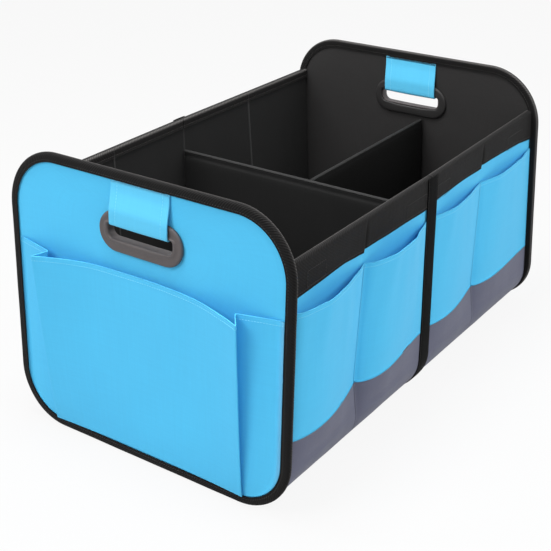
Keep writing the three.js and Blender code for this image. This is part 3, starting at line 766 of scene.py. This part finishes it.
def pocketHalfWidth(z):
    radius = organizer["footRadius"] - endPocket["edge"]
    below = min(max(organizer["footRadius"] - z, 0), radius)
    inward = radius - math.sqrt(radius ** 2 - below ** 2)
    return organizer["width"] / 2 - endPocket["edge"] - inward


def foldArc(centre, radius, arriving, leaving, turn, bendSteps=7):
    start = arriving - turn * math.pi / 2
    sweep = leaving - arriving
    while sweep * turn < 0:
        sweep += turn * math.pi * 2
    return [(centre[0] + radius * math.cos(start + sweep * k / bendSteps),
             centre[1] + radius * math.sin(start + sweep * k / bendSteps)) for k in range(bendSteps + 1)]


def pocketHalfLine(share, z):     # (across, out) from the binding to the middle
    p = endPocket
    radius = layer / 2
    rest = faceSurface + gap + cloth / 2
    mix = lambda low, high: low + (high - low) * share
    edge = (pocketHalfWidth(z), rest)
    inner = (mix(p["footInner"], p["pleatInner"]), rest + radius + p["foldProud"] * share)
    outerOut = rest + 3 * radius + (p["cornerProud"] - 3 * radius - cloth) * share
    outer = (mix(p["footOuter"], p["pleatOuter"]), outerOut)
    middleOut = rest + 0.3 + (p["middleProud"] - 0.3 - cloth) * share
    rise = outerOut + radius - middleOut
    heading = lambda a, b: math.atan2(b[1] - a[1], b[0] - a[0])
    steps = 6
    toInner = foldArc(inner, radius, heading(edge, inner), heading(inner, outer), -1)
    line = [(edge[0] + (toInner[0][0] - edge[0]) * k / steps, edge[1] + (toInner[0][1] - edge[1]) * k / steps)
            for k in range(steps)]
    count = p["frontColumns"]
    spread = [outer[0] * (1 - (k / count) ** 1.15) for k in range(1, count + 1)]
    front = [(a, middleOut + rise * (a / outer[0]) ** p["hollow"]) for a in spread]
    toOuter = foldArc(outer, radius, heading(inner, outer), heading(outer, front[0]), 1)
    side = [(toInner[-1][0] + (toOuter[0][0] - toInner[-1][0]) * k / 5,
             toInner[-1][1] + (toOuter[0][1] - toInner[-1][1]) * k / 5) for k in range(1, 5)]
    return np.array(line + toInner + side + toOuter + front)


def makeEndPocket():
    p = endPocket
    rest = faceSurface + gap
    foot = p["edge"] + 0.6
    rows = []
    closer = np.sin(np.linspace(0, math.pi / 2, p["rows"]))                # rows close up towards the foot
    levels = hemLevels(p["hemWidth"], 5 + (p["hem"] - foot - p["hemWidth"] - 5) * closer)
    for down in levels:
        z = p["hem"] - down
        share = (z - foot) / (p["hem"] - foot)
        left = pocketHalfLine(max(share, 0) ** p["opening"], z)
        line = np.concatenate([left, left[:-1][::-1] * (-1, 1)])
        up = z - p["droop"] / p["cornerProud"] * (line[:, 1] - rest)
        rows.append(gridOf(line[:, 1], line[:, 0], up))
    grid = np.array(rows)[:, ::-1]                   # left to right as seen from outside
    out, across, up = grid[..., 0], grid[..., 1], grid[..., 2]
    free = np.broadcast_to(easeIn(up - foot, 60), out.shape)
    front = easeIn(p["footOuter"] - np.abs(across) - 2, 25)
    # the front hangs in soft folds: long ones that fan from its upper corners, and a slack middle
    below = p["hem"] - up
    fan = np.sin((np.abs(across) + below * 0.32) / p["fanLength"]) * np.exp(-(below / 95) ** 2)
    slack = rumple(grid * (0.2, 1, 0.6), p["slackLength"], 5) * easeIn(below, 60)
    out = out + free * front * (p["fan"] * fan * easeIn(np.abs(across) - 20, 60) + p["slack"] * slack)
    # seen along its length the hem dips and rises a little
    up = up + 0.9 * rumple(grid * (0.2, 1, 0), 42, 9) * np.exp(-below / 20)
    placed = onEnd(-1, out, across, up)
    thickness = np.where(levels <= p["hemWidth"], cloth * 1.3, cloth)[:, None]
    sewnCloth("near_end_pocket_cloth", placed, thickness, "blueCloth", "near_end_pocket",
              cut=(lengthsAlong(placed, 1)[-1], p["hem"] - foot + p["hemWidth"]), held="gathered",
              restsOn=["near_end_binding"], rim=0.45, rimSteps=2)
    stitches("near_end_pocket_stitching", [hemStitches(placed, p)], "blueThread")


def hemStitches(grid, pocket):
    normals = sheetNormals(grid)[2]
    path = grid[0] + (grid[3] - grid[0]) * pocket["stitchBelow"] / pocket["hemWidth"]
    return stitchRow(path + normals * 0.05, normals)


makeEndPocket()
print("end pocket made")


# Long walls. The front is built, and the back is the same turned round, without its pockets.
def turned(grid, side):           # side -1 is the front, 1 the back
    return grid if side < 0 else grid * (-1, -1, 1)


longWalls = (("front", -1), ("back", 1))
halves = ("near", "far")


def wallSpan(side, halfName):
    outer = endInside - gap
    start, end = (-outer, -gap / 2) if halfName == "near" else (gap / 2, outer)
    return (start, end) if side < 0 else (-end, -start)


def wallEdges():                  # the ends of a long wall, its folds and its middle
    outer = endInside - gap
    return [-outer, organizer["folds"][0], 0, organizer["folds"][1], outer]


wall = {"creaseWidth": 1.5, "creaseDepth": 0.7, "wave": 0.45, "waveLength": 34, "columns": 74, "rows": 44}


def wallCloths():
    for name, side in longWalls:
        for halfName in halves:
            start, end = wallSpan(side, halfName)
            # in front it runs down behind the pockets, and at the back it ends at the grey
            foot = organizer["footHeight"] + (-3 if side < 0 else 0.2)
            top = organizer["wallHeight"] - 2 * layer
            x = np.linspace(start, end, wall["columns"])
            z = np.linspace(top, foot, wall["rows"])[:, None]
            folded = crease(fromFold(x, side), 0, wall["creaseWidth"])
            y = -wallHalf(coverDepth) + wall["creaseDepth"] * folded
            soft = 0.5 + 0.5 * rumple(gridOf(x, y, z * 0.6), wall["waveLength"], 11 + side)
            y = y + wall["wave"] * soft * easeIn(z - organizer["footHeight"], 20)
            grid = turned(gridOf(x, y, z), side)
            sewnCloth(f"{name}_{halfName}_wall_cloth", grid, cloth - 0.1, "blueCloth",
                      f"{name}_{halfName}_cloth", cut=(end - start, top - foot), held="stretched",
                      restsOn=boardsOf(name, halfName))


# Pockets on the front: flat at their side seams, standing out between them
frontPocket = {
    "hem": 232, "bellies": (15, 16, 9, 10), "seamFullness": 0.88, "fullness": (0.9, 0.9, 1.1, 1.1),
    "skew": 0.75,
    "middleMargin": 12, "seamMargin": 1.6,           # flat strips at the middle binding and at the seams
    "flatFoot": (False, True, False, True), "flatSkew": 0.55, "flatFullness": 1.3,
    "footFade": 70,                                  # the feet run in to the base within this length
    "hemWidth": 10, "stitchBelow": 4.5, "columns": 46, "rows": 34, "footRows": 30,
    "fan": 0.55, "slack": 1.3, "footSlack": 0.8,     # soft folds
    "fullFrom": 14,                                  # bellies under this have shallower folds
}


def pocketColumns(start, end):
    p = frontPocket
    low = start + (p["middleMargin"] if abs(start) < 1 else p["seamMargin"])
    high = end - (p["middleMargin"] if abs(end) < 1 else p["seamMargin"])
    share = np.linspace(0, 1, p["columns"])
    share = (share * 2 + (1 - np.cos(share * math.pi)) / 2) / 3      # a little denser beside the seams
    x = np.concatenate([[start], low + (high - low) * share, [end]])
    stand = np.concatenate([[0], np.sin(math.pi * share ** p["skew"]).clip(0), [0]])
    return x, stand, np.concatenate([[0], share, [1]])


# Share of the belly at each place. Two of the pockets stay flat on their far side, ever wider
# towards the foot.
def standing(number, x, z):       # x as a row, z a number or a column
    p = frontPocket
    share = ((x - x[1]) / (x[-2] - x[1])).clip(0, 1)
    stand = np.sin(math.pi * share ** p["skew"]).clip(0) ** p["fullness"][number]
    if not p["flatFoot"][number]:
        return stand
    sink = np.clip((p["hem"] - z) / (p["hem"] - organizer["footHeight"]), 0, 1)
    flatter = np.sin(math.pi * share ** p["flatSkew"]).clip(0) ** p["flatFullness"]
    return stand + (flatter - stand) * sink


def pocketFolds(x, z, share, number):
    # drag lines fan out from the hem's corners down the sides, and slack lies across the middle
    p = frontPocket
    down = p["hem"] - z
    side = np.minimum(share, 1 - share)
    fan = np.sin((side * 150 + down * 0.22) / 7.5 + number) * np.exp(-(down / 70) ** 2)
    fan = fan * easeIn(side, 0.08) * easeIn(0.5 - side, 0.2)
    slack = rumple(gridOf(x, 0, z * 0.55), 38, 20 + number)
    return p["fan"] * fan + p["slack"] * slack


def frontPockets():
    edges = wallEdges()
    hemRuns = []
    for number in range(len(frontPocket["bellies"])):
        start, end = edges[number] + gap / 2, edges[number + 1] - gap / 2
        x, stand, share = pocketColumns(start, end)
        halfName = "near" if number < 2 else "far"
        hemRuns.append(bluePocket(number, halfName, x, stand, share))
        greyFoot(number, halfName, x, stand)
    stitches("front_pocket_stitching", hemRuns, "blueThread")


def bluePocket(number, halfName, x, stand, share):
    p = frontPocket
    foot, belly = organizer["footHeight"], p["bellies"][number]
    levels = hemLevels(p["hemWidth"], np.linspace(4, p["hem"] - foot + 1.6 - p["hemWidth"], p["rows"]))
    z = (p["hem"] - levels)[:, None]
    full = 1 + (p["seamFullness"] - 1) * levels[:, None] / (p["hem"] - foot)
    free = easeIn(stand, 0.35) * easeIn(z - foot, 30)
    folds = pocketFolds(x, z, share, number) * free * min(belly / p["fullFrom"], 1)
    lap = 0.35 * (1 - easeIn(z - foot - 0.5, 2.2))           # the blue laps over the grey at the seam
    y = -wallHalf(layer) - belly * full * standing(number, x, z) - folds - lap
    grid = gridOf(x, y, z)
    thickness = np.where(levels <= p["hemWidth"], cloth, cloth * 0.9)[:, None] * easeIn(stand + 0.3, 0.3)
    sewnCloth(f"front_pocket_cloth_{number + 1}", grid, np.maximum(thickness, 0.6), "blueCloth",
              f"front_pocket_{number + 1}", cut=(lengthsAlong(grid, 1)[-1], p["hem"] - foot + p["hemWidth"]),
              held="gathered", restsOn=[f"front_{halfName}_cloth"], rim=0.4, rimSteps=2)
    return hemStitches(grid, p)


# Grey foot of a pocket: down the wall, round the corner and flat under the base
def greyFoot(number, halfName, x, stand):
    p = frontPocket
    foot, belly = organizer["footHeight"], p["bellies"][number]
    radius = organizer["wallFootRadius"] - layer
    down = np.linspace(0, foot - organizer["wallFootRadius"], 9)[:-1]
    turn = np.linspace(0, math.pi / 2, p["footRows"])
    angle = np.concatenate([0 * down, turn])
    run = np.concatenate([down, down[-1] + turn * radius])   # along the cloth from the seam
    outY, outZ = -np.cos(angle)[:, None], -np.sin(angle)[:, None]
    restY = -wallHalf(layer) + radius + radius * outY
    restZ = organizer["wallFootRadius"] + radius * outZ
    restZ[:len(down), 0] = foot - gap / 2 - down
    amount = belly * p["seamFullness"] * (1 - easeIn(run, p["footFade"]))
    stood = amount[:, None] * standing(number, x, foot)
    slack = rumple(gridOf(x, 0, angle[:, None] * 60), 30, 40 + number)
    slack = slack * easeIn(stand, 0.4) * np.cos(angle)[:, None] ** 5 * min(belly / p["fullFrom"], 1)
    stood = stood + p["footSlack"] * slack
    grid = gridOf(x, restY + outY * stood, restZ + outZ * stood)
    sewnCloth(f"front_pocket_foot_cloth_{number + 1}", grid, cloth * 0.9, "greyCloth",
              f"front_pocket_foot_{number + 1}", cut=(lengthsAlong(grid, 1)[-1], lengthsAlong(grid, 0)[-1]),
              held="stretched", restsOn=[f"{halfName}_base_cloth"], rim=0.3)


# The line of a layer that runs down the front, round the bottom corners and up the back
def wrapLine(depth, board, frontTop, backTop, spacing=6.0, arcSteps=20):
    halfWidth = wallHalf(depth, board)
    radius = organizer["wallFootRadius"] - depth
    low = depth
    turn = np.linspace(0, math.pi / 2, arcSteps + 1)
    upright = lambda top: np.linspace(top, low + radius, max(2, round((top - low - radius) / spacing)))[:-1]
    front = [(-halfWidth, z) for z in upright(frontTop)]
    front += [(-halfWidth + radius - radius * math.cos(a), low + radius - radius * math.sin(a)) for a in turn]
    back = [(halfWidth, z) for z in upright(backTop)]
    back += [(halfWidth - radius + radius * math.cos(a), low + radius - radius * math.sin(a)) for a in turn]
    count = round((back[-1][0] - front[-1][0]) / spacing)
    base = [(front[-1][0] + (back[-1][0] - front[-1][0]) * k / count, low) for k in range(1, count)]
    return np.array(front + base + back[::-1])


def wrapGrid(line, x):
    return gridOf(x, line[:, :1], line[:, 1:])


def baseCloths():
    for halfName in halves:
        start, end = wallSpan(-1, halfName)
        line = wrapLine(coverDepth, 0, organizer["footHeight"] - 3, organizer["footHeight"] - gap)
        grid = wrapGrid(line, np.linspace(start, end, wall["columns"]))
        normals = sheetNormals(grid)
        soft = 0.5 + 0.5 * rumple(grid, 40, 31)
        folded = 0.5 * crease(fromFold(grid[..., 0]), 0, 1.5)
        grid = grid - normals * (0.4 * soft + folded)[..., None]
        sewnCloth(f"{halfName}_base_wrap", grid, cloth - 0.1, "greyCloth", f"{halfName}_base_cloth",
                  cut=(end - start, lengthsAlong(grid, 0)[-1]), held="stretched",
                  restsOn=[f"{halfName}_lining"])


# Lining: one black cloth in each half, with a sewn tuck at the folds that stands up a little inside
lining = {"tuck": 1.5, "tuckWidth": 1.0, "wave": 1.1}


def linings():
    for halfName in halves:
        start, end = wallSpan(-1, halfName)
        top = organizer["wallHeight"] - layer - 2 * gap
        line = wrapLine(liningDepth, boardSpace, top, top)
        fold = organizer["folds"][0 if halfName == "near" else 1]
        besideMiddle = np.sign(fold) * np.array([1.2, 2.4])
        x = np.concatenate([np.linspace(start, end, 66), fold + np.linspace(-3, 3, 9), besideMiddle])
        grid = wrapGrid(line, np.sort(x))
        normals = sheetNormals(grid)
        upright = easeIn(grid[..., 2] - 62, 20)
        wave = lining["wave"] * rumple(grid * (1, 1, 0.6), 45, 51) * upright * easeIn(top - grid[..., 2], 60)
        tuck = lining["tuck"] * crease(grid[..., 0], fold, lining["tuckWidth"]) * upright
        inward = tuck + np.maximum(wave, 0)
        grid = grid - normals * inward[..., None]
        # the tuck at each fold and the edge at the middle are painted lighter: rubbed wear and a painted
        # highlight on the raised cloth
        wear = upright * (0.55 * crease(grid[..., 0], fold, 0.9) + 0.5 * crease(grid[..., 0], 0, 1.2))
        sewnCloth(f"{halfName}_inside_cloth", grid, cloth, "lining", f"{halfName}_lining",
                  cut=(end - start, lengthsAlong(grid, 0)[-1]), held="stretched",
                  restsOn=[f"{halfName}_base_cloth"], wear=wear)


# Black band folded over the top of each wall, with sewn rectangles that hold a fastening tape inside
topBand = {
    "height": 36, "inner": 12, "thickness": 0.9, "columns": 96,
    "tabs": ((-265, -230), (-59, -14), (14, 46), (216, 261)), "tabHigh": 268, "tabLow": 251,
    # how far its lower edge lies above the even line, along the front
    "edgeAt": (-290, -250, -190, -160, -148, -147, -100, 0, 1, 70, 140.5, 141.5, 200, 250, 290),
    "edgeLift": (-3.5, -1, 1, -1.5, -3.5, 0.5, 0, 0, 3, 4, 3, 7, 5.5, 2, -2.5),
}


def topBands():
    b = topBand
    top = organizer["wallHeight"]
    outside = wallHalf(layer)
    inside = wallHalf(liningDepth, boardSpace) - layer
    profile = roundedLine([(-inside + 0.6, top - b["inner"]), (-inside + 0.6, top), (-outside, top),
                           (-outside, top - b["height"])], 3.4, bendSteps=8)
    for name, side in longWalls:
        runs = []
        for halfName in halves:
            start, end = wallSpan(side, halfName)
            besideFold = -side * organizer["folds"][int(halfName == "far")] + np.array([-0.7, 0.7])
            x = np.concatenate([np.linspace(start, end, b["columns"]), besideFold])
            grid = wrapGrid(profile, np.sort(x))
            down = top - grid[..., 2]
            low = easeIn(down, b["height"])
            outer = grid[..., 1] < -(inside + outside) / 2
            wavy = 0.5 * np.sin(grid[..., 0] / 31.0 + side) + 0.25 * np.sin(grid[..., 0] / 12.0)
            if side < 0:                             # it sags beside the near end, and steps at the folds
                wavy += np.interp(grid[..., 0], b["edgeAt"], b["edgeLift"])
            grid[..., 2] += wavy * low * outer
            bellied = 0.35 * np.sin(down / b["height"] * math.pi) * (0.5 + 0.5 * np.sin(grid[..., 0] / 21.0))
            pressed = 1.3 * crease(fromFold(grid[..., 0], side), 0, 1.3) * easeIn(down, 16)
            grid[..., 1] += np.where(outer, pressed - bellied, 0)
            placed = turned(grid, side)
            # the band's folded inner top edge is painted lighter: a painted highlight with a little rubbed
            # wear
            wear = crease(profile[:, 0], -inside - 0.2, 1.8) * crease(profile[:, 1], top - 0.6, 1.8)
            sewnCloth(f"{name}_{halfName}_top_band", placed, b["thickness"], "blackTape",
                      f"{name}_{halfName}_band", cut=(end - start, lengthsAlong(placed, 0)[-1]),
                      held="folded", restsOn=boardsOf(name, halfName), wear=wear[:, None])
            normals = sheetNormals(placed)
            for row, other in ((-1, -2), (0, 1)):            # along both edges, most of a row in
                path = placed[row] * 0.25 + placed[other] * 0.75
                runs.append(stitchRow(path + normals[row] * 0.05, normals[row]))
            if side < 0:
                runs += tabStitches(start, end)
        stitches(f"{name}_top_band_stitching", runs, "blackThread")


def tabStitches(start, end):      # rectangles sewn on one half of the front
    b = topBand
    runs = []
    outer = -wallHalf(layer) - 0.5
    for left, right in b["tabs"]:
        if start < left and right < end:
            low, high = b["tabLow"], b["tabHigh"]
            corners = [(left, low), (right, low), (right, high), (left, high), (left, low)]
            path = roundedLine(corners, 1.5, spacing=3)
            placed = gridOf(path[:, 0], outer, path[:, 1])
            runs.append(stitchRow(placed, np.broadcast_to([0, -1, 0], placed.shape)))
    return runs


# Binding round the middle, outside all the other layers, from the front wall's top edge to the back wall's
middleTape = {"width": 23, "thickness": 1.0, "stitchIn": 2.2, "crown": 0.5,
              "columns": (0, 0.25, 0.5, 0.72, 0.8, 0.86, 0.93, 1)}           # from its middle to its edge


def middleBinding():
    t = middleTape
    top = organizer["wallHeight"] - 0.6
    line = wrapLine(0, 0, top, top, spacing=5)
    share = np.array(t["columns"])
    across = np.concatenate([-share[:0:-1], share]) * t["width"] / 2
    grid = wrapGrid(line, across)
    normals = sheetNormals(grid)
    fromSide = t["width"] / 2 - np.abs(grid[..., 0])
    relief = t["crown"] * (easeIn(fromSide, 6) - 1) - 0.25 * crease(fromSide, t["stitchIn"], 0.8)
    relief = relief * easeIn(grid[..., 2] - 1, 6) * 0.8
    run = lengthsAlong(grid, 0)
    sway = 0.6 * np.sin(run / 63.0) + 0.3 * np.sin(run / 23.0)
    grid = grid + normals * relief[..., None]
    grid[..., 0] += (sway * easeIn(grid[:, 0, 2] - 20, 40))[:, None]
    clothPiece("middle_tape", grid, t["thickness"], "middleTape", "middle_binding", rim=0.3)
    runs = []
    normals = sheetNormals(grid)
    onFloor = np.flatnonzero(line[:, 1] < 4)
    raised = onFloor[0], onFloor[-1]
    for column in (2, len(across) - 3):
        # none where the tape lies on the floor
        for seen in (slice(0, raised[0]), slice(raised[1], None)):
            runs.append(stitchRow(grid[seen, column] + normals[seen, column] * 0.02, normals[seen, column]))
    stitches("middle_tape_stitching", runs, "blackThread")


wallCloths()
frontPockets()
baseCloths()
linings()
topBands()
middleBinding()
print("walls made")


# Dividers and base boards: stiff boards sewn into black cloth
divider = {
    "thickness": 6, "hem": 6, "swell": 0.5, "slack": 0.5, "rim": 1.4,
    "long": -18,              # where the long divider stands across the organizer
    "cover": 0.6,             # the cover's even face lies this far inside the thickness, its top row "topRim"
    "topRim": 1.2,
    "hemRows": (0, 1, 2.4, 4, 5.2, 6, 6.8, 8, 10),       # rows of the covers just below their top edge
    # and how much lighter they are painted, as rubbed wear and a painted highlight: a little along the top
    # and along the line where the hem is sewn
    "crossWearAndHighlight": (0.12, 0.03, 0, 0, 0.1, 0.22, 0.1, 0, 0),
    "longWearAndHighlight": (0.3, 0.16, 0.14, 0.14, 0.14, 0.12, 0.04, 0, 0),
    "crossHeight": 232, "crossBelow": 0.066, "longBelow": 16,      # the even rows below them
    "rows": 40,
}


def coveredBoard(name, grid, thickness, node, rim, finish="lining", wear=None):
    clothPiece(name, grid, thickness, finish, node, rim=rim, rimSteps=5, wear=wear)


# A cover's slack, and how far it swells below the sunk line of its hem
def coverShape(along, z, seed):
    below = organizer["dividerHeight"] - z
    wave = divider["slack"] * rumple(gridOf(along, z, 0), 50, seed) * easeIn(below, 30)
    hemLine = crease(below, divider["hem"] + 1.2, 1.0)
    swell = divider["swell"] * easeIn(below - divider["hem"], 8) - 0.3 * hemLine
    return wave, swell, divider["thickness"] - 2 * divider["cover"] + 2 * swell


def crossDivider():               # follows the lining down both walls and round their bottom corners
    d = divider
    top = organizer["dividerHeight"]
    profile = wrapLine(liningDepth + layer, boardSpace, top, top)
    halfWidth = -profile[:, 0].min() - 1.5
    radius = organizer["wallFootRadius"] - liningDepth - layer
    y = -halfWidth + radius * (1 - np.cos(np.linspace(0, math.pi / 2, 12)))
    y = np.concatenate([y[:-1], np.linspace(y[-1], -y[-1], 40), -y[::-1][1:]])
    drop = np.maximum(np.abs(y) - (halfWidth - radius), 0)
    low = liningDepth + layer + 0.6 + radius - np.sqrt(np.maximum(radius ** 2 - drop ** 2, 0))
    even = np.linspace(d["crossBelow"], 1, d["rows"])
    share = np.concatenate([np.array(d["hemRows"]) / d["crossHeight"], even])[:, None]
    z = top - d["topRim"] - (top - d["topRim"] - low) * share
    wave, swell, thickness = coverShape(y, z, 61)
    grid = gridOf(d["thickness"] / 2 - d["cover"] + swell + wave, y, z)
    # painted highlight and wear along the top edge and the hem's line
    wear = np.interp(share * d["crossHeight"], d["hemRows"], d["crossWearAndHighlight"])
    coveredBoard("cross_divider_cover", grid, thickness, "cross_divider", d["rim"], wear=wear)


def longDivider():                # of the far half
    d = divider
    top = organizer["dividerHeight"]
    x = np.linspace(d["thickness"] / 2 + gap + 1.5, endInside - gap - 1.8, 60)
    even = np.linspace(top - d["longBelow"], organizer["baseTop"] + gap + 1.2, d["rows"])
    z = np.concatenate([top - d["topRim"] - np.array(d["hemRows"]), even])[:, None]
    wave, swell, thickness = coverShape(x, z, 62)
    y = d["long"] - d["thickness"] / 2 + d["cover"] - swell - wave
    # painted highlight and wear along the top edge and the hem's line
    wear = np.interp(top - d["topRim"] - z, d["hemRows"], d["longWearAndHighlight"])
    coveredBoard("long_divider_cover", gridOf(x, y, z), thickness, "long_divider", d["rim"],
                 "shadedDividerCloth", wear)


baseBoard = {"thickness": 4.2, "rim": 1.5, "air": 2, "edge": 1.6, "slack": 0.35, "columns": 50, "rows": 44}


def baseBoards():
    b = baseBoard
    flat = wallHalf(liningDepth + layer, boardSpace) - (organizer["wallFootRadius"] - liningDepth - layer)
    near, far = divider["thickness"] / 2 + b["air"], endInside - b["air"]
    for halfName, start, end in (("near", -far, -near), ("far", near, far)):
        x = np.linspace(start + b["edge"], end - b["edge"], b["columns"])
        y = np.linspace(flat - b["edge"], -flat + b["edge"], b["rows"])[:, None]
        wave = b["slack"] * rumple(gridOf(x, y, 0), 60, 71)
        grid = gridOf(x, y, organizer["baseTop"] - 0.3 + np.minimum(wave, 0.25))
        coveredBoard(f"{halfName}_base_board_cover", grid, b["thickness"], f"{halfName}_base_board", b["rim"])


# Stiff boards in the long walls, one on each side of every fold
def wallBoards():
    edges = wallEdges()
    for name, side in longWalls:
        for number in range(4):
            start, end = edges[number] + 1.5, edges[number + 1] - 1.5
            x = np.linspace(start, end, 12) if side < 0 else np.linspace(-end, -start, 12)
            z = np.linspace(organizer["wallHeight"] - layer - gap, organizer["wallFootRadius"] + layer, 24)
            grid = turned(gridOf(x, -wallHalf(liningDepth), z[:, None]), side)
            piece = softSheet(f"{name}_wall_board_{number + 1}", grid, organizer["wallBoard"], fibreBoard,
                              rim=0.2)
            keep(piece, f"{name}_board_{number + 1}")


crossDivider()
longDivider()
baseBoards()
wallBoards()
print("dividers and boards made")


# Floor, world and lamps: pale and even, with a soft key from the camera's left
studio = {
    "floor": 0.5, "world": 0.54, "whiten": 0.9, "aim": (0, 0, 0.15),
    # place, power and size of each lamp
    "lamps": {"keyLamp": ((-1.9, 0.8, 2.0), 32, 1.3), "fillLamp": ((0.5, -2.0, 1.9), 31, 1.6),
              "topLamp": ((-0.2, 0.05, 1.4), 17, 0.5)},
}


def seenByCamera(tree):           # 1 where the camera looks at it, also in a reflection or through something
    path = addNode(tree, "ShaderNodeLightPath").outputs
    mirrored = calc(tree, "MAXIMUM", path["Is Glossy Ray"], path["Is Transmission Ray"])
    return calc(tree, "MAXIMUM", path["Is Camera Ray"], mirrored)


def makeFloor():
    bpy.ops.mesh.primitive_plane_add(size=14, location=(0, 0, 0))
    floor = bpy.context.object
    floor.name = "studioFloor"
    material, tree = newMaterial("paleFloor")
    matt = addNode(tree, "ShaderNodeBsdfDiffuse", {0: (studio["floor"],) * 3 + (1,)})
    white = addNode(tree, "ShaderNodeEmission", {0: (1, 1, 1, 1), 1: 1.0})
    share = calc(tree, "MULTIPLY", seenByCamera(tree), studio["whiten"])
    mix = addNode(tree, "ShaderNodeMixShader", {0: share, 1: matt.outputs[0], 2: white.outputs[0]})
    floor.data.materials.append(finished(material, mix))


def makeWorld():
    world = bpy.data.worlds.new("studioWorld")
    world.use_nodes = True
    tree = world.node_tree
    tree.nodes.clear()
    strength = addNode(tree, "ShaderNodeMapRange", {0: seenByCamera(tree), 3: studio["world"], 4: 1.0})
    back = addNode(tree, "ShaderNodeBackground", {0: (1, 1, 1, 1), 1: strength.outputs[0]})
    addNode(tree, "ShaderNodeOutputWorld", {0: back.outputs[0]})
    bpy.context.scene.world = world


def makeLamps():
    for name, (place, power, size) in studio["lamps"].items():
        data = bpy.data.lights.new(name, "AREA")
        data.energy = power
        data.size = size
        lamp = bpy.data.objects.new(name, data)
        lamp.location = place
        lamp.rotation_euler = (Vector(studio["aim"]) - Vector(place)).to_track_quat("-Z", "Y").to_euler()
        bpy.context.scene.collection.objects.link(lamp)


makeFloor()
makeWorld()
makeLamps()
settings = bpy.context.scene.view_settings
settings.view_transform = "Standard"
print("studio made")
